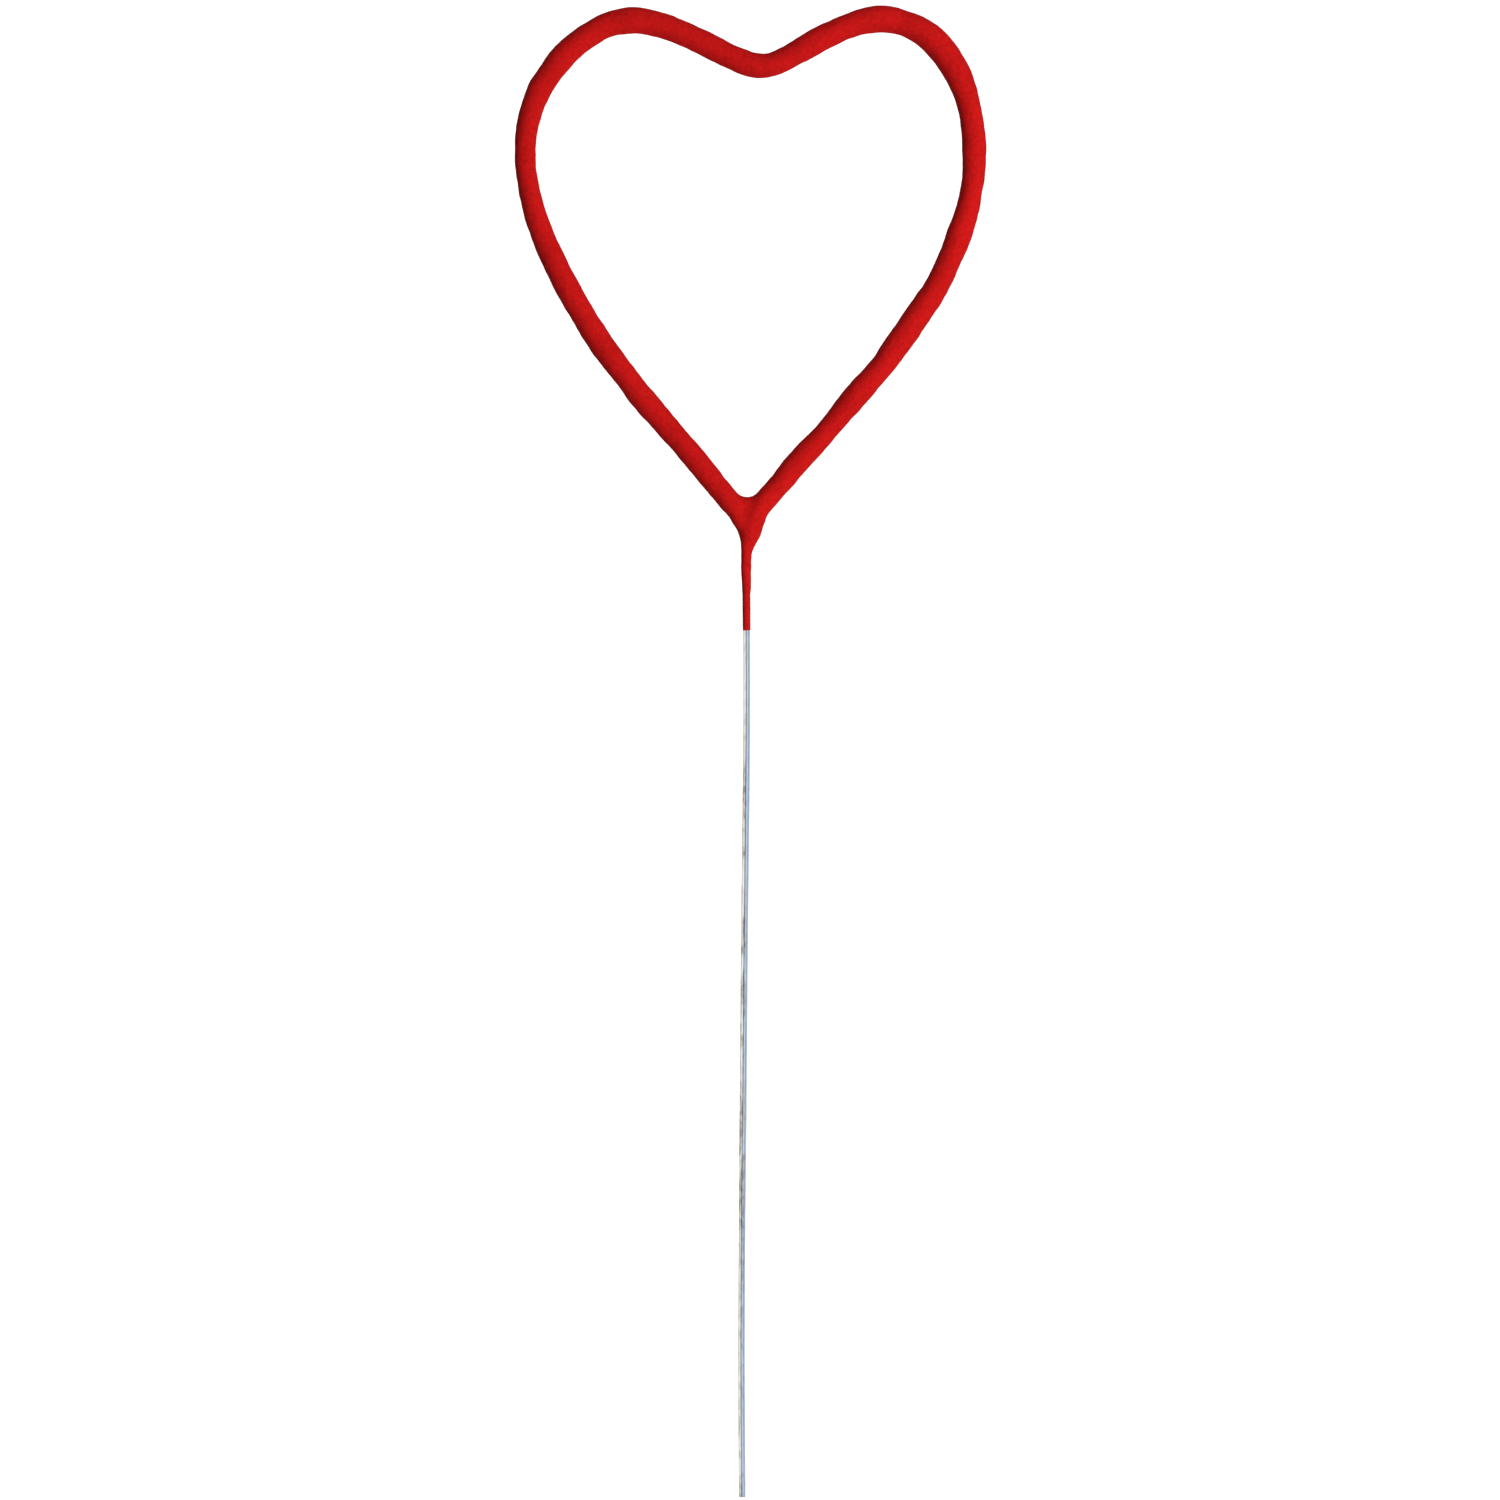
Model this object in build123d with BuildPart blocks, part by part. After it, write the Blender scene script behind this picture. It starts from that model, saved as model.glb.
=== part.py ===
from build123d import *
import math
import os
from typing import NamedTuple

import numpy as np

# Heart-shaped hand-held sparkler: a bent steel wire, the red burning mix dipped over its heart,
# and the thin film that runs on down the stem. Millimetres, +Z up along the stem, the heart in
# the XZ plane facing -Y, and the origin at the middle of the stem's cut end.


class Bend(NamedTuple):
    """One place along the wire."""

    x: float  # wire centre, to the right of the stem's axis
    rise: float  # wire centre, above the dip line
    heading: float  # the way the wire runs there, degrees up from +X
    coat: float  # thickness of the coat over the wire


# Wire
WIRE_DIAMETER = 1.0
STEM_LENGTH = 122.0  # bare straight stem, from its cut end to the dip line
NECK_LEAN = 0.7  # degrees that the wire leans to the left above the dip line
HEEL_RISE = 13.3  # from the dip line up to where the wire bends into the left arm
TAIL_RISE = 15.5  # from the dip line up to where the tail runs straight beside the heel
TAIL_LENGTH = 2.1  # straight free end of the wire
TAIL_GAP = 0.25  # between the tail and the heel

# Coat at the heart's point
DIP_COAT = 0.08  # at the film's square end
FILM_COAT = 0.16  # where the film meets the mix
NECK_COAT = 0.41
HEEL_COAT = 0.49
LUMP_COAT = 0.95  # at the top of the tail
RUN_OUT_RISE = 5.4  # from the dip line up to where the mix runs out
NECK_RISE = 11.3  # from the dip line up to the neck below the lump
LUMP_TIP = 1.1  # from the tail's end down to the lump's tip
LUMP_STEPS = (0, 0.45, 0.75, 0.88)  # where the lump is shaped, from the tail's top to its tip
CROTCH_RISE = 18.7  # from the dip line up to the hollow where the two arms meet
CROTCH_WEB = 2.6  # thickness of the web of coat that fills the hollow

# Heart, in order along the wire
CLEFT = Bend(1.6, 79.5, 0.0, 1.2)
LEFT_HALF = (
    Bend(-2.8, 18.75, 131.5, 1.1),  # foot of the left arm
    Bend(-19.4, 38.7, 125.5, 1.25),  # left arm
    Bend(-31.4, 66.8, 91.0, 0.95),  # left side
    Bend(-26.5, 80.3, 51.0, 1.25),  # left shoulder
    Bend(-16.9, 85.8, 0.0, 1.38),  # left crown
    Bend(-6.1, 82.6, -27.0, 1.2),  # slope into the cleft
    CLEFT,
)
RIGHT_HALF = (
    CLEFT,
    Bend(7.6, 81.9, 31.0, 1.15),  # slope out of the cleft
    Bend(18.5, 86.2, 2.0, 1.33),  # right crown
    Bend(27.5, 81.5, -53.0, 1.45),  # right shoulder
    Bend(31.7, 67.8, -90.0, 1.1),  # right side
    Bend(20.5, 39.7, -126.0, 1.25),  # right arm
    Bend(3.4, 19.4, -132.0, 1.05),  # foot of the right arm
)

# How far a straight facet may lie inside the wire's arc
FACET_SAG = 0.1

UP = 90.0
DOWN = -90.0


def neck_bend(rise, coat):
    """A place on the neck, which leans straight from the dip line to the heel."""
    return Bend(-rise * math.tan(math.radians(NECK_LEAN)), rise, UP + NECK_LEAN, coat)


# Places on the stem, the neck and the tail that follow from the sizes above
STEM_END = Bend(0, -STEM_LENGTH, UP, 0)
DIP_LINE = Bend(0, 0, UP, DIP_COAT)
RUN_OUT = neck_bend(RUN_OUT_RISE, FILM_COAT)
NECK = neck_bend(NECK_RISE, NECK_COAT)
HEEL = neck_bend(HEEL_RISE, HEEL_COAT)
TAIL_TOP = Bend(HEEL.x + WIRE_DIAMETER + TAIL_GAP, TAIL_RISE, DOWN, LUMP_COAT)
TAIL_END = Bend(TAIL_TOP.x, TAIL_RISE - TAIL_LENGTH, DOWN, 0)


def place(bend):
    """Where the wire's centre is at a bend."""
    return Vector(bend.x, 0, STEM_LENGTH + bend.rise)


def way(bend):
    """The direction of the wire at a bend."""
    turn = math.radians(bend.heading)
    return Vector(math.cos(turn), 0, math.sin(turn))


def square_to(point, direction):
    """The plane through a point of the wire that cuts it square."""
    return Plane(point, x_dir=(0, 1, 0), z_dir=direction)


def run_between(start, finish):
    """The wire's centreline between two bends, as two arcs that meet without a kink."""
    chord = place(finish) - place(start)
    along = chord.dot(way(start) + way(finish))
    spread = 2 * (1 - way(start).dot(way(finish)))
    reach = (math.sqrt(along**2 + spread * chord.dot(chord)) - along) / spread
    middle = (place(start) + place(finish) + (way(start) - way(finish)) * reach) * 0.5
    first = TangentArc(place(start), middle, tangent=way(start))
    second = TangentArc(middle, place(finish), tangent=first % 1)
    return [first, second]


def bent_sections(bends):
    """Planes square to the wire from the first bend until short of the last, with the coat's
    radius at each, close enough for straight facets to follow the wire's arcs."""
    with BuildLine(Plane.XZ) as route:
        runs = [run_between(start, finish) for start, finish in zip(bends, bends[1:])]
    arcs = [arc for run in runs for arc in run]
    to_arcs = np.cumsum([0] + [arc.length for arc in arcs])
    to_bends = np.cumsum([0] + [sum(arc.length for arc in run) for run in runs])
    facets = np.cumsum([0] + [arc.length / math.sqrt(8 * arc.radius * FACET_SAG) for arc in arcs])
    marks = np.linspace(0, facets[-1], math.ceil(facets[-1]) + 1)
    wire = route.wire()
    sections = []
    for distance in np.interp(marks[:-1], facets, to_arcs):
        share = distance / to_arcs[-1]
        coat = np.interp(distance, to_bends, [bend.coat for bend in bends])
        sections.append((square_to(wire @ share, wire % share), WIRE_DIAMETER / 2 + coat))
    return sections


def sections_at(*bends):
    """Planes square to the wire at some bends, each with the coat's radius."""
    return [(square_to(place(bend), way(bend)), WIRE_DIAMETER / 2 + bend.coat) for bend in bends]


def lump_sections():
    """Planes and radii where the lump rounds off from the top of the tail to its tip."""
    sections = []
    for step in LUMP_STEPS:
        centre = place(TAIL_TOP) + way(TAIL_TOP) * ((TAIL_LENGTH + LUMP_TIP) * step)
        radius = (WIRE_DIAMETER / 2 + LUMP_COAT) * (1 - step**2)
        sections.append((square_to(centre, way(TAIL_TOP)), radius))
    return sections


os.makedirs("parts", exist_ok=True)

# Wire: stem, neck, both halves of the heart and the tail in one length
with BuildPart() as core_wire:
    heart = bent_sections([HEEL, *LEFT_HALF, *RIGHT_HALF[1:], TAIL_TOP])
    for plane, _ in sections_at(STEM_END, DIP_LINE) + heart + sections_at(TAIL_TOP, TAIL_END):
        with BuildSketch(plane):
            Circle(WIRE_DIAMETER / 2)
    loft(ruled=True)
core_wire.part.label = "core_wire"
export_step(core_wire.part, "parts/core_wire.step")

# Burning mix: a tube up the left half and one down the right half, which meet in the cleft
# and run together at the heart's point, where a web fills the hollow between the arms
left_foot = LEFT_HALF[0]
right_foot = RIGHT_HALF[-1]
left_tube = (
    sections_at(RUN_OUT, NECK)
    + bent_sections([HEEL, left_foot])
    + bent_sections(LEFT_HALF)
    + sections_at(CLEFT)
)
right_tube = bent_sections(RIGHT_HALF) + bent_sections([right_foot, TAIL_TOP]) + lump_sections()
with BuildPart() as composition_coat:
    for tube in (left_tube, right_tube):
        for plane, radius in tube:
            with BuildSketch(plane):
                Circle(radius)
        loft(ruled=True)
    with BuildSketch(Plane.YZ):
        with Locations((0, STEM_LENGTH + CROTCH_RISE - CROTCH_WEB / 2)):
            Circle(CROTCH_WEB / 2)
    extrude(amount=-left_foot.x / 2, both=True)
    add(core_wire.part, mode=Mode.SUBTRACT)
composition_coat.part.label = "composition_coat"
export_step(composition_coat.part, "parts/composition_coat.step")

# Thin film of the coat that runs on down the wire from the mix to the dip line
with BuildPart() as neck_film:
    for plane, radius in sections_at(DIP_LINE, RUN_OUT):
        with BuildSketch(plane):
            Circle(radius)
    loft(ruled=True)
    add(core_wire.part, mode=Mode.SUBTRACT)
neck_film.part.label = "neck_film"
export_step(neck_film.part, "parts/neck_film.step")
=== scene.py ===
import math

import bmesh
import bpy
from mathutils import Matrix, Vector, geometry, noise
from mathutils.bvhtree import BVHTree


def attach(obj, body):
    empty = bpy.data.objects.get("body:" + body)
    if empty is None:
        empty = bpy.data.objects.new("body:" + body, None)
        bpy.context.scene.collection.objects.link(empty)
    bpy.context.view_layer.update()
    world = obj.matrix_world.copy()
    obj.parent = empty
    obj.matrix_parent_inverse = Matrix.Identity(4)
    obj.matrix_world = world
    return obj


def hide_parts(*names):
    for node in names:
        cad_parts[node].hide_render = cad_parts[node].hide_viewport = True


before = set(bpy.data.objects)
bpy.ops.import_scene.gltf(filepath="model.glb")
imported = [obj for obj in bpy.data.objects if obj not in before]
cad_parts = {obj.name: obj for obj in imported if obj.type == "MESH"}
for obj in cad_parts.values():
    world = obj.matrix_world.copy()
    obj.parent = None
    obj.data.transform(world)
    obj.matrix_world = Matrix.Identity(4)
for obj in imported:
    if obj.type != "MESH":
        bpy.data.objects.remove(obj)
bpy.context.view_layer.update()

# Heart-shaped sparkler: a bare wire stem, a thin red film over the wire's neck, and the lumpy red
# burning mix round the heart. +Z runs up along the stem and the heart faces -Y. The object's sizes
# are in millimetres, which MM turns into the frame's metres, and the studio's are in metres.
MM = 0.001
ASIDE = Vector((1, 0, 0))
BACK = Vector((0, 1, 0))

# Solid wire's mesh: how close points are that count as one, and how level those along its back are
WELD = 0.0001
LEVEL = 0.001

# Wire: its radius, and how far the bare stem strays to the right at some heights
WIRE_RADIUS = 0.5
BOW = ((0, -0.07), (20, -0.26), (40, -0.25), (60, -0.17), (80, -0.1), (100, 0.04), (110, 0.07))
NECK_KNOTS = 4  # of the wire's line, from the dip line to short of the heel
LINE_STEPS = 8  # of the wire's line, from each knot to the next
WIRE_SIDES = 28
WIRE_CREASE = 35  # degrees past which an edge stays sharp

# Wire's cut end: height and radius of its rings, and how far it rises for each millimetre to the left
CUT_RINGS = ((0, 0.45), (0.03, 0.485), (0.08, 0.5))
CUT_SLANT = 0.06

# Film: height above the dip line and radius, from its rounded lower lip up to under the mix
FILM_RINGS = ((0, 0.512), (0.04, 0.535), (0.4, 0.55), (0.9, 0.558), (1.5, 0.562), (6.4, 0.575))
FILM_STEP = 0.2  # between its rings above the lip's
FILM_LUMPS = ((1.4, 0.01), (0.5, 0.006))  # wavelength and height
FILM_SIDES = 36
FILM_CREASE = 50  # degrees past which an edge stays sharp

# Mix on the neck: height above the dip line, radius and stray to the right. The first three rings lie
# inside the film, where the mix is cut off.
NECK_RINGS = (
    (1.5, 0.02, 0),
    (4.4, 0.45, 0),
    (5.25, 0.55, 0),
    (5.45, 0.585, 0.01),
    (5.8, 0.61, 0.02),
    (7.6, 0.64, 0.02),
    (9.3, 0.69, 0.03),
    (11.2, 0.73, 0.08),
    (12.2, 0.8, 0.13),
    (13.0, 0.87, 0.13),
)
MIX_END = 4.5  # above the dip line, where the mix is cut off

# Mix round the heart: the swellings and hollows of its outer and inner edges, as distances along the
# wire from the heel and how far the edge there stands proud of an even coat
OUTER_EDGE = (
    # Left arm
    (0, -0.1), (2.5, 0.2), (9, 0.05), (17.5, -0.2), (25, 0.05), (28, -0.1), (33, 0.15), (37, 0.15),
    (41, 0.05), (43, 0.1), (50, -0.15),
    # Left side and shoulder
    (57, -0.1), (66, 0.1), (73, 0.25), (76, 0.05), (79, 0.05),
    # Left crown
    (84, -0.35), (87, -0.3), (90, 0), (94, -0.15),
    # Cleft
    (98, -0.15), (103, -0.05), (107, 0.15), (110, -0.05), (114, 0),
    # Right crown
    (118, 0.2), (123, -0.2), (128, 0.05), (131, -0.3),
    # Right shoulder and side
    (135, -0.05), (143, 0), (147, -0.2), (153, 0.1), (159, 0.05),
    # Right arm
    (165, 0.2), (169, 0.2), (174, 0.4), (178, 0.2), (186, 0.05), (194, -0.1), (198, -0.15), (200, 0),
    (205, -0.1), (208, 0.05), (212, 0.05),
)
INNER_EDGE = (
    # Left arm
    (0, 0), (6, -0.05), (8, -0.2), (10, -0.1), (13, 0.05), (23, 0.1), (27, -0.05), (37, -0.1),
    (40, -0.05), (45, 0.15), (50, 0.3),
    # Left side and shoulder
    (55, 0.2), (60, -0.05), (69, -0.15), (75, -0.1), (78, 0), (81, 0),
    # Left crown
    (84, 0.15), (91, -0.05), (95, 0.05),
    # Cleft
    (103, 0.1), (106, -0.15), (109, 0.05), (113, -0.05),
    # Right crown
    (125, 0.1),
    # Right shoulder and side
    (140, 0.1), (147, -0.1), (153, 0.05), (157, -0.2), (161, -0.15),
    # Right arm
    (165, 0.05), (173, -0.4), (178, 0), (185, 0), (186, -0.2), (189, -0.05), (192, 0.2), (195, 0.1),
    (198.5, -0.15), (203, 0.15), (206, 0.2), (209, -0.15), (212, 0.05),
)

# Right arm's foot: how far it lies in front of the left arm's, at distances along the wire likewise
CROSSING = ((198, 0), (207, 0.4), (214, 0.1))

# Mix over the tail: place to the right of the stem's axis, height above the dip line, and radius
LUMP_RINGS = (
    (0.96, 14.8, 1.28),
    (0.88, 13.9, 1.16),
    (0.75, 13.0, 0.96),
    (0.5, 12.15, 0.68),
    (0.3, 11.3, 0.5),
)

# Mix that fills in where the arms meet: places as over the tail, and half sizes in X, Y and Z
FILLINGS = (
    (-0.25, 17.5, (1.95, 1.25, 1.25)),
    (0.35, 14.1, (1.48, 1.42, 2.15)),
)
FILLING_DETAIL = 4  # rounds of subdivision

# Mix's surface: it is made too thick, so that its hollows run together, and then taken in again
MIX_SIDES = 32
PROBE_REACH = 10  # behind the wire, from where the solid mix is measured
VOXEL = 0.25
FILL = 0.9  # how far it is taken in
SHRINK = 0.04  # what the smoothing takes off
SETTLE = 6  # rounds of smoothing
LUMPS = ((2.0, 0.075), (0.9, 0.04))  # wavelength and height
SWELLS = ((5.0, 0.09),)  # likewise, on the front and back only

# Painted reflection in patches on the stem's left: how strong it is at shares of the way from its cut
# end
# # to the dip line, and the places to the right of its axis where it begins and where it is full
PAINTED_REFLECTION_STRENGTH = (
    (0, 0.7),
    (0.08, 0.65),
    (0.12, 0.2),
    (0.25, 0.35),
    (0.36, 0.95),
    (0.5, 0.75),
    (0.62, 1),
    (0.72, 0.7),
    (0.8, 1),
    (0.87, 0.4),
    (1, 0.15),
)
PAINTED_REFLECTION_BEGIN = 0.12
PAINTED_REFLECTION_FULL = -0.1

# Colours of the finishes, and the dark and pale of the painted reflection on the stem
DEEP_RED = (0.57, 0.008, 0.0075)
BRIGHT_RED = (0.66, 0.0095, 0.009)
GRAIN_SHADE = (0.78, 0.78, 0.78)
DULL_ZINC = (0.84, 0.85, 0.86)
BRIGHT_ZINC = (0.97, 0.97, 0.97)
# Painted reflection on the stem's left: its dark and its pale colour
PAINTED_DARK_REFLECTION = (0.26, 0.24, 0.215)
PAINTED_PALE_REFLECTION = (0.78, 0.71, 0.61)
BLACK = (0, 0, 0)
WHITE = (1, 1, 1)

# Studio panels: their colours at some angles round the stem, in degrees from the front to the right
PANELS = (
    (-180, (0.35, 0.35, 0.35)),
    (-150, (0.55, 0.53, 0.5)),
    (-100, (0.76, 0.73, 0.69)),
    (-40, (1, 0.975, 0.94)),
    (-28, (0.22, 0.22, 0.22)),
    (-4, (0.24, 0.26, 0.29)),
    (10, (0.5, 0.64, 0.82)),
    (42, (0.58, 0.74, 0.94)),
    (56, (0.25, 0.34, 0.47)),
    (86, (0.27, 0.36, 0.49)),
    (102, (0.56, 0.66, 0.8)),
    (135, (0.45, 0.5, 0.57)),
    (180, (0.35, 0.35, 0.35)),
)
SWAY = 90  # degrees over which the panels' edges sway on the way up
PANEL_RADIUS = 0.7
PANEL_HEIGHT = 1.8

# Studio: a floor just below the stem's end, and a dome
FLOOR_RADIUS = 6
DOME_RADIUS = 5
STAGE_SIDES = 64
STAGE_DROP = 0.001

# Light: how bright it is all round, and strips, by name, degrees from the front to the right and watts
AMBIENT = 0.2
STRIPS = (("key", 38, 6.2), ("back", 160, 5.4))
STRIP_WIDTH = 0.12
STRIP_LENGTH = 1.6
STRIP_REACH = 0.6
STRIP_HEIGHT = -0.14

# Camera: its place in millimetres, square on to the heart, and a touch of turn that leans the stem
CAMERA_PLACE = (0.55, -791.7, 105.18)
CAMERA_TURN = -0.00457  # radians
CAMERA_LENS = 135
SENSOR_WIDTH = 36

# Inputs by which a node is fed, and the sockets by which a mix node blends colours
FEEDS = ("Vector", "Fac", "Value", "Height")
MIX_AMOUNT = 0
MIX_FIRST = 6
MIX_SECOND = 7
MIX_RESULT = 2


def wire_centres():
    """Centres of the solid wire's rings, in order from the stem's cut end to the tail's end."""
    shell = bmesh.new()
    shell.from_mesh(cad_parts["core_wire"].data)
    bmesh.ops.remove_doubles(shell, verts=shell.verts, dist=WELD * MM)
    rearmost = max(vert.co.y for vert in shell.verts)
    ridge = [vert for vert in shell.verts if vert.co.y > rearmost - LEVEL * MM]
    path = [min(ridge, key=lambda vert: vert.co.z)]
    onward = path
    while onward:
        beside = [edge.other_vert(path[-1]) for edge in path[-1].link_edges]
        onward = [vert for vert in beside if vert in ridge and vert not in path]
        path.extend(onward[:1])
    centres = [Vector((vert.co.x, 0, vert.co.z)) for vert in path]
    shell.free()
    return centres


def smooth_line(knots):
    """A smooth line through some knots."""
    ways = []
    for before, after in zip(knots[:1] + knots, knots[1:] + knots[-1:]):
        ways.append((after - before).normalized())
    line = []
    for start, leave, finish, arrive in zip(knots, ways, knots[1:], ways[1:]):
        reach = (finish - start).length / 3
        run = geometry.interpolate_bezier(
            start, start + leave * reach, finish - arrive * reach, finish, LINE_STEPS + 1
        )
        line.extend(run[:-1])
    return line + [knots[-1]]


def solid_tree(node):
    """A CAD node's surface, for measuring."""
    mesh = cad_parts[node].data
    return BVHTree.FromPolygons(
        [vert.co for vert in mesh.vertices], [face.vertices for face in mesh.polygons]
    )


def new_piece(name, shell, *nodes):
    """An object that stands for some CAD nodes, from a bmesh."""
    mesh = bpy.data.meshes.new(name)
    bmesh.ops.recalc_face_normals(shell, faces=shell.faces)
    shell.to_mesh(mesh)
    shell.free()
    piece = bpy.data.objects.new(name, mesh)
    bpy.context.collection.objects.link(piece)
    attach(piece, "root")
    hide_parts(*nodes)
    return piece


def sweep(shell, rings, sides):
    """Adds a closed tube through some rings, each a centre and a radius, that stand square to the XZ
    plane, and returns its loops of vertices."""
    loops = []
    last = len(rings) - 1
    for index, (centre, radius) in enumerate(rings):
        along = rings[min(index + 1, last)][0] - rings[max(index - 1, 0)][0]
        across = along.normalized().cross(BACK)
        loop = []
        for side in range(sides):
            turn = 2 * math.pi * side / sides
            offset = BACK * math.cos(turn) + across * math.sin(turn)
            loop.append(shell.verts.new(centre + offset * radius))
        loops.append(loop)
    for lower, upper in zip(loops, loops[1:]):
        for side in range(sides):
            beside = (side + 1) % sides
            shell.faces.new((lower[side], lower[beside], upper[beside], upper[side]))
    shell.faces.new(loops[0])
    shell.faces.new(loops[-1])
    return loops


def ramp(table, place):
    """A table's value at some place, on straight lines between its rows."""
    for (start, first), (finish, last) in zip(table, table[1:]):
        if place <= finish:
            share = (place - start) / (finish - start)
            return first + (last - first) * max(share, 0)
    return table[-1][1]


def film_heights():
    """Heights of the film's rings: its lip's, and then even steps."""
    *lip, even_from, top = [height for height, radius in FILM_RINGS]
    count = int((top - even_from) / FILM_STEP) + 1
    return lip + [even_from + FILM_STEP * step for step in range(count)]


def heart_rings(line, heel_index, tail_index):
    """Rings of the mix from the heel to the top of the tail: as thick as the solid mix, measured from
    behind, with the swellings and hollows of its edges."""
    solid = solid_tree("composition_coat")
    rings = []
    distance = 0
    for index in range(heel_index, tail_index):
        before, point, after = line[index - 1 : index + 2]
        distance += (point - before).length / MM
        outward = (after - before).normalized().cross(BACK)
        outer = ramp(OUTER_EDGE, distance)
        inner = ramp(INNER_EDGE, distance)
        forward = ramp(CROSSING, distance)
        even = solid.ray_cast(point + BACK * PROBE_REACH * MM, -BACK)[0].y
        centre = point + outward * (outer - inner) / 2 * MM - BACK * forward * MM
        rings.append((centre, even + (outer + inner) / 2 * MM))
    return rings


def swollen_mix(rings, dip_line):
    """A bmesh of the mix through some rings, with its fillings, all of it still too thick."""
    swollen = FILL + SHRINK
    shell = bmesh.new()
    sweep(shell, [(centre, radius + swollen * MM) for centre, radius in rings], MIX_SIDES)
    for across, rise, sizes in FILLINGS:
        centre = Matrix.Translation((across * MM, 0, dip_line + rise * MM))
        stretch = Matrix.Diagonal([(size + swollen) * MM for size in sizes] + [1])
        bmesh.ops.create_icosphere(
            shell, subdivisions=FILLING_DETAIL, radius=1, matrix=centre @ stretch
        )
    return shell


def bake_modifiers(piece):
    """Swaps a piece's mesh for the one its modifiers make."""
    shaped = piece.evaluated_get(bpy.context.evaluated_depsgraph_get())
    mesh = bpy.data.meshes.new_from_object(shaped)
    piece.modifiers.clear()
    piece.data = mesh


def run_together(piece):
    """Makes one skin of a piece that is too thick, takes it in and smooths it."""
    voxels = piece.modifiers.new("voxels", "REMESH")
    voxels.mode = "VOXEL"
    voxels.voxel_size = VOXEL * MM
    bake_modifiers(piece)
    inward = [-vert.normal * FILL * MM for vert in piece.data.vertices]
    for vert, move in zip(piece.data.vertices, inward):
        vert.co += move
    settle = piece.modifiers.new("settle", "SMOOTH")
    settle.iterations = SETTLE
    bake_modifiers(piece)


def roughen(mesh, lumps, swells=()):
    """Pushes a mesh in and out by lumps all round and by swells on its front and back only, each
    a (wavelength, height) in millimetres."""
    moves = []
    for vert in mesh.vertices:
        depth = 0
        for wavelength, height in lumps:
            depth += noise.noise(vert.co / (wavelength * MM)) * height
        for wavelength, height in swells:
            depth += noise.noise(vert.co / (wavelength * MM)) * height * abs(vert.normal.y)
        moves.append(vert.normal * depth * MM)
    for vert, move in zip(mesh.vertices, moves):
        vert.co += move


def cut_below(mesh, place, way):
    """Cuts off what lies behind a plane that faces some way, and closes the cut."""
    shell = bmesh.new()
    shell.from_mesh(mesh)
    bmesh.ops.bisect_plane(
        shell,
        geom=shell.verts[:] + shell.edges[:] + shell.faces[:],
        plane_co=place,
        plane_no=way,
        clear_inner=True,
    )
    bmesh.ops.holes_fill(shell, edges=[edge for edge in shell.edges if edge.is_boundary])
    shell.to_mesh(mesh)
    shell.free()


def new_material(name):
    """A material, its nodes' tree and its shader."""
    material = bpy.data.materials.new(name)
    material.use_nodes = True
    tree = material.node_tree
    return material, tree, tree.nodes["Principled BSDF"]


def add_node(tree, kind, source=None, **values):
    """A node with some inputs set, fed from an output through its first fitting input."""
    node = tree.nodes.new(kind)
    for key, value in values.items():
        node.inputs[key.replace("_", " ")].default_value = value
    if source:
        sockets = [socket for socket in node.inputs if socket.name in FEEDS]
        tree.links.new(source, sockets[0])
    return node


def object_place(tree):
    """Where a point is on its object."""
    return add_node(tree, "ShaderNodeTexCoord").outputs["Object"]


def stretched_noise(tree, place, scale, detail):
    """Noise with a scale of its own along each axis."""
    stretch = add_node(tree, "ShaderNodeMapping", place, Scale=scale)
    texture = add_node(tree, "ShaderNodeTexNoise", stretch.outputs["Vector"], Scale=1, Detail=detail)
    return texture.outputs["Fac"]


def rescaled(tree, source, **ends):
    """A value brought from one range into another, which both run from 0 to 1 unless given."""
    return add_node(tree, "ShaderNodeMapRange", source, **ends).outputs["Result"]


def calculated(tree, operation, *values):
    """The result of a mathematical operation on outputs and numbers."""
    node = tree.nodes.new("ShaderNodeMath")
    node.operation = operation
    for socket, value in zip(node.inputs, values):
        if isinstance(value, bpy.types.NodeSocket):
            tree.links.new(value, socket)
        else:
            socket.default_value = value
    return node.outputs["Value"]


def colour_ramp(tree, source, *stops):
    """A ramp of colours along a value."""
    node = add_node(tree, "ShaderNodeValToRGB", source)
    elements = node.color_ramp.elements
    while len(elements) < len(stops):
        elements.new(1)
    for element, (position, colour) in zip(elements, stops):
        element.position = position
        element.color = (*colour, 1)
    return node.outputs["Color"]


def mixed(tree, blend, first, second, amount=None):
    """Two colours blended, all over or by an amount."""
    node = tree.nodes.new("ShaderNodeMix")
    node.data_type = "RGBA"
    node.blend_type = blend
    node.inputs[MIX_AMOUNT].default_value = 1
    if amount:
        tree.links.new(amount, node.inputs[MIX_AMOUNT])
    tree.links.new(first, node.inputs[MIX_FIRST])
    tree.links.new(second, node.inputs[MIX_SECOND])
    return node.outputs[MIX_RESULT]


def add_texture(tree, shader, source, roughness, strength, depth):
    """Gives a shader its relief from a noise, and its roughness where that is low and high."""
    at_low, at_high = roughness
    dullness = rescaled(tree, source, To_Min=at_low, To_Max=at_high)
    tree.links.new(dullness, shader.inputs["Roughness"])
    relief = add_node(tree, "ShaderNodeBump", source, Strength=strength, Distance=depth * MM)
    tree.links.new(relief.outputs["Normal"], shader.inputs["Normal"])


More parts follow.
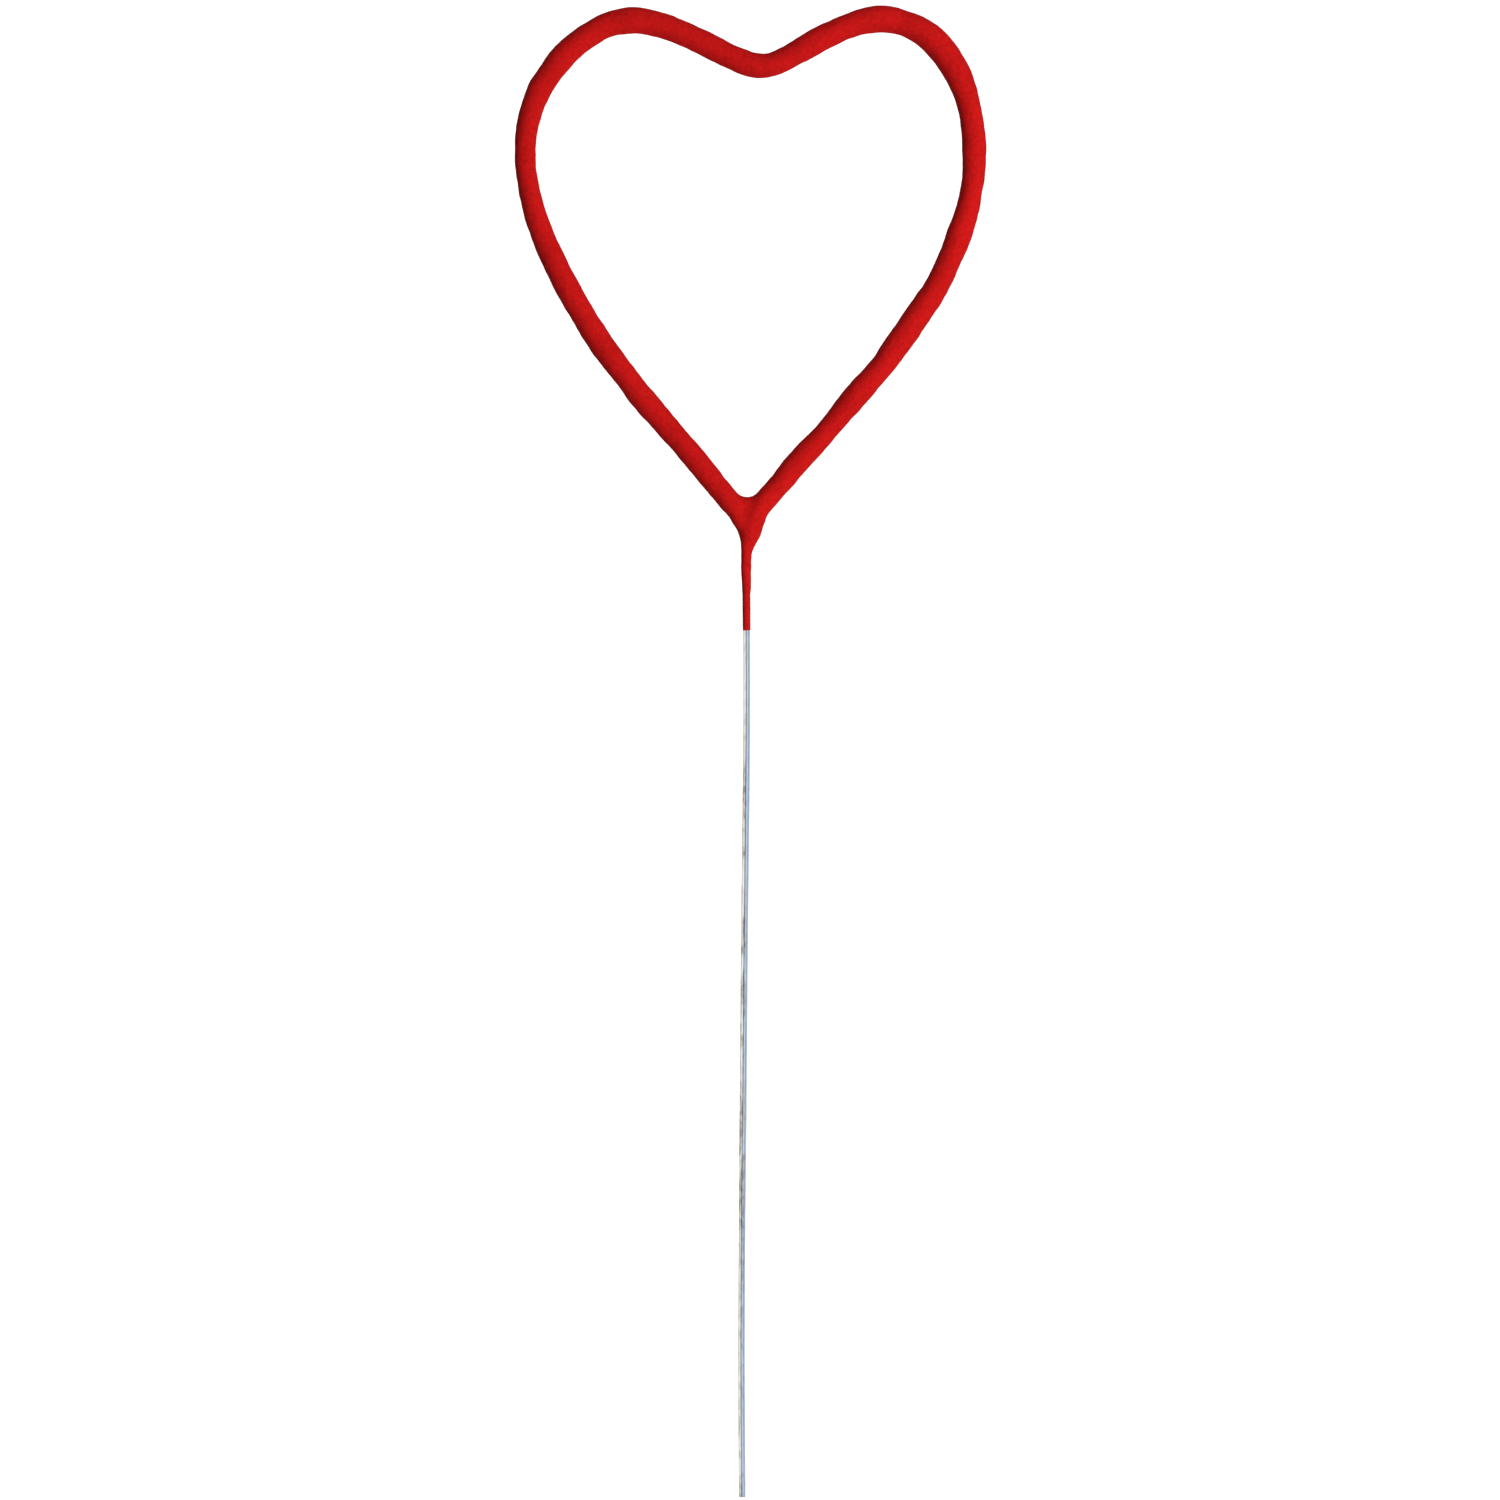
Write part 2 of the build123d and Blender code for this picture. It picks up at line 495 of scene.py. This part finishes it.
def red_coat():
    """Matt red, slightly mottled and finely grained."""
    material, tree, shader = new_material("red_coat")
    place = object_place(tree)
    mottle = add_node(tree, "ShaderNodeTexNoise", place, Scale=170, Detail=3, Roughness=0.55)
    grain = add_node(tree, "ShaderNodeTexNoise", place, Scale=2300, Detail=3, Roughness=0.6)
    tone = colour_ramp(tree, mottle.outputs["Fac"], (0.3, DEEP_RED), (0.7, BRIGHT_RED))
    shade = colour_ramp(tree, grain.outputs["Fac"], (0.3, GRAIN_SHADE), (0.6, WHITE))
    tree.links.new(mixed(tree, "MULTIPLY", tone, shade), shader.inputs["Base Color"])
    add_texture(tree, shader, grain.outputs["Fac"], roughness=(0.95, 0.68), strength=0.45, depth=0.04)
    shader.inputs["Specular IOR Level"].default_value = 0.12
    return material


def galvanised_wire(stem_length):
    """Bright zinc with drawing lines along it and fine spangle, and painted reflection on the stem's
    left.
    """
    material, tree, shader = new_material("galvanised_wire")
    place = object_place(tree)
    lines = stretched_noise(tree, place, scale=(6000, 6000, 90), detail=2)
    spangle = stretched_noise(tree, place, scale=(2600, 2600, 800), detail=2)
    # Painted reflection: dark and pale patches on the stem's left side, stronger at some heights
    reflection_blotches = stretched_noise(tree, place, scale=(1000, 1000, 150), detail=4)
    axes = add_node(tree, "ShaderNodeSeparateXYZ", place)
    share = rescaled(tree, axes.outputs["Z"], From_Max=stem_length)
    reflection_strength = colour_ramp(tree, share, *((position, (amount,) * 3) for position, amount in PAINTED_REFLECTION_STRENGTH))
    side = rescaled(tree, axes.outputs["X"], From_Min=PAINTED_REFLECTION_BEGIN * MM, From_Max=PAINTED_REFLECTION_FULL * MM)
    reflection_patches = colour_ramp(tree, reflection_blotches, (0.42, BLACK), (0.5, WHITE))
    painted_reflection_amount = calculated(tree, "MULTIPLY", calculated(tree, "MULTIPLY", reflection_strength, side), reflection_patches)
    clean = colour_ramp(tree, spangle, (0.35, DULL_ZINC), (0.6, BRIGHT_ZINC))
    # Colours of the painted reflection, mixed over the clean zinc by its patches
    painted_reflection = colour_ramp(tree, spangle, (0.36, PAINTED_DARK_REFLECTION), (0.64, PAINTED_PALE_REFLECTION))
    tree.links.new(mixed(tree, "MIX", clean, painted_reflection, painted_reflection_amount), shader.inputs["Base Color"])
    add_texture(tree, shader, lines, roughness=(0.05, 0.18), strength=0.12, depth=0.02)
    shader.inputs["Metallic"].default_value = 1
    return material


def studio_white():
    """White that shines by itself."""
    material, tree, shader = new_material("studio_white")
    shader.inputs["Base Color"].default_value = (*WHITE, 1)
    shader.inputs["Emission Color"].default_value = (*WHITE, 1)
    shader.inputs["Emission Strength"].default_value = 1
    return material


def studio_panels():
    """Panels of colour round the stem that shine by themselves, whose edges sway on the way up."""
    material, tree, shader = new_material("studio_panels")
    place = object_place(tree)
    facing = add_node(tree, "ShaderNodeMapping", place, Scale=(1, -1, 1))
    axes = add_node(tree, "ShaderNodeSeparateXYZ", facing.outputs["Vector"])
    azimuth = calculated(tree, "ARCTAN2", axes.outputs["X"], axes.outputs["Y"])
    sway = stretched_noise(tree, place, scale=(0, 0, 22), detail=3)
    swung = calculated(tree, "MULTIPLY_ADD", sway, math.radians(SWAY), azimuth)
    middle = math.radians(SWAY / 2)
    share = rescaled(tree, swung, From_Min=middle - math.pi, From_Max=middle + math.pi)
    tone = colour_ramp(tree, share, *((0.5 + angle / 360, colour) for angle, colour in PANELS))
    shader.inputs["Base Color"].default_value = (*BLACK, 1)
    tree.links.new(tone, shader.inputs["Emission Color"])
    shader.inputs["Emission Strength"].default_value = 1
    return material


def add_stage(name, shell, finish, mirrored):
    """Part of the studio, from a bmesh, that is either only mirrored or only seen directly."""
    mesh = bpy.data.meshes.new(name)
    shell.to_mesh(mesh)
    shell.free()
    mesh.materials.append(finish)
    finish.cycles.emission_sampling = "NONE"
    stage = bpy.data.objects.new(name, mesh)
    bpy.context.collection.objects.link(stage)
    stage.location.z = -STAGE_DROP
    stage.visible_camera = not mirrored
    stage.visible_glossy = mirrored
    stage.visible_diffuse = False
    stage.visible_transmission = False
    stage.visible_shadow = False


# Camera
camera = bpy.data.objects.new("camera", bpy.data.cameras.new("camera"))
camera.data.lens = CAMERA_LENS
camera.data.sensor_width = SENSOR_WIDTH
camera.location = [length * MM for length in CAMERA_PLACE]
camera.rotation_euler = (math.pi / 2, CAMERA_TURN, 0)
bpy.context.collection.objects.link(camera)
bpy.context.scene.camera = camera
bpy.context.scene.view_settings.view_transform = "Standard"

# Lines that the pieces follow: the solid wire's, whose second and third rings are at the dip line and
# the heel, with a bow in its stem, and the neck's, by how far it runs for each step up
centres = wire_centres()
dip, heel = centres[1:3]
lean = (heel - dip) / (heel.z - dip.z)
stem = [Vector((stray * MM, 0, height * MM)) for height, stray in BOW]
neck = [dip.lerp(heel, knot / NECK_KNOTS) for knot in range(NECK_KNOTS)]
wire_line = smooth_line(stem + neck + centres[2:])
heel_index = len(stem + neck) * LINE_STEPS
tail_index = len(wire_line) - 1 - LINE_STEPS

# Wire
rings = [(Vector((wire_line[0].x, 0, height * MM)), radius * MM) for height, radius in CUT_RINGS]
rings += [(point, WIRE_RADIUS * MM) for point in wire_line[1:]]
shell = bmesh.new()
loops = sweep(shell, rings, WIRE_SIDES)
for loop in loops[: len(CUT_RINGS)]:
    for vert in loop:
        vert.co.z += (WIRE_RADIUS * MM - vert.co.x) * CUT_SLANT
wire = new_piece("wire", shell, "core_wire")
wire.data.shade_smooth()
wire.data.set_sharp_from_angle(angle=math.radians(WIRE_CREASE))

# Film on the neck
rings = [(dip + lean * height * MM, ramp(FILM_RINGS, height) * MM) for height in film_heights()]
shell = bmesh.new()
sweep(shell, rings, FILM_SIDES)
neck_skin = new_piece("neck_skin", shell, "neck_film")
roughen(neck_skin.data, FILM_LUMPS)
neck_skin.data.shade_smooth()
neck_skin.data.set_sharp_from_angle(angle=math.radians(FILM_CREASE))

# Mix: up the neck, round the heart and over the tail
rings = []
for rise, radius, stray in NECK_RINGS:
    rings.append((dip + lean * rise * MM + ASIDE * stray * MM, radius * MM))
rings += heart_rings(wire_line, heel_index, tail_index)
for across, rise, radius in LUMP_RINGS:
    rings.append((Vector((across * MM, 0, dip.z + rise * MM)), radius * MM))
heart_coat = new_piece("heart_coat", swollen_mix(rings, dip.z), "composition_coat")
run_together(heart_coat)
roughen(heart_coat.data, LUMPS, SWELLS)
cut_below(heart_coat.data, dip + lean * MIX_END * MM, lean)
heart_coat.data.shade_smooth()

# Finishes
red = red_coat()
heart_coat.data.materials.append(red)
neck_skin.data.materials.append(red)
wire.data.materials.append(galvanised_wire(stem_length=dip.z))

# Stage: a white floor under a white dome, and a ring of panels that only reflections show, warm white
# at its left and pale blue at its right
white = studio_white()
shell = bmesh.new()
bmesh.ops.create_circle(shell, cap_ends=True, segments=STAGE_SIDES, radius=FLOOR_RADIUS)
add_stage("floor", shell, white, mirrored=False)
shell = bmesh.new()
bmesh.ops.create_uvsphere(
    shell, u_segments=STAGE_SIDES, v_segments=STAGE_SIDES // 2, radius=DOME_RADIUS
)
add_stage("dome", shell, white, mirrored=False)
shell = bmesh.new()
bmesh.ops.create_cone(
    shell, segments=STAGE_SIDES, radius1=PANEL_RADIUS, radius2=PANEL_RADIUS, depth=PANEL_HEIGHT
)
add_stage("panels", shell, studio_panels(), mirrored=True)

# Light: dim all round, and tall soft strips from the right, one for the front and one for the back
world = bpy.data.worlds.new("studio")
world.use_nodes = True
world.node_tree.nodes["Background"].inputs["Color"].default_value = (AMBIENT, AMBIENT, AMBIENT, 1)
bpy.context.scene.world = world
for name, azimuth, power in STRIPS:
    light = bpy.data.objects.new(name, bpy.data.lights.new(name, "AREA"))
    light.data.shape = "RECTANGLE"
    light.data.size = STRIP_WIDTH
    light.data.size_y = STRIP_LENGTH
    light.data.energy = power
    turn = math.radians(azimuth)
    light.location = (STRIP_REACH * math.sin(turn), -STRIP_REACH * math.cos(turn), STRIP_HEIGHT)
    light.rotation_euler = (math.pi / 2, 0, turn)
    light.visible_camera = False
    light.visible_glossy = False
    bpy.context.collection.objects.link(light)
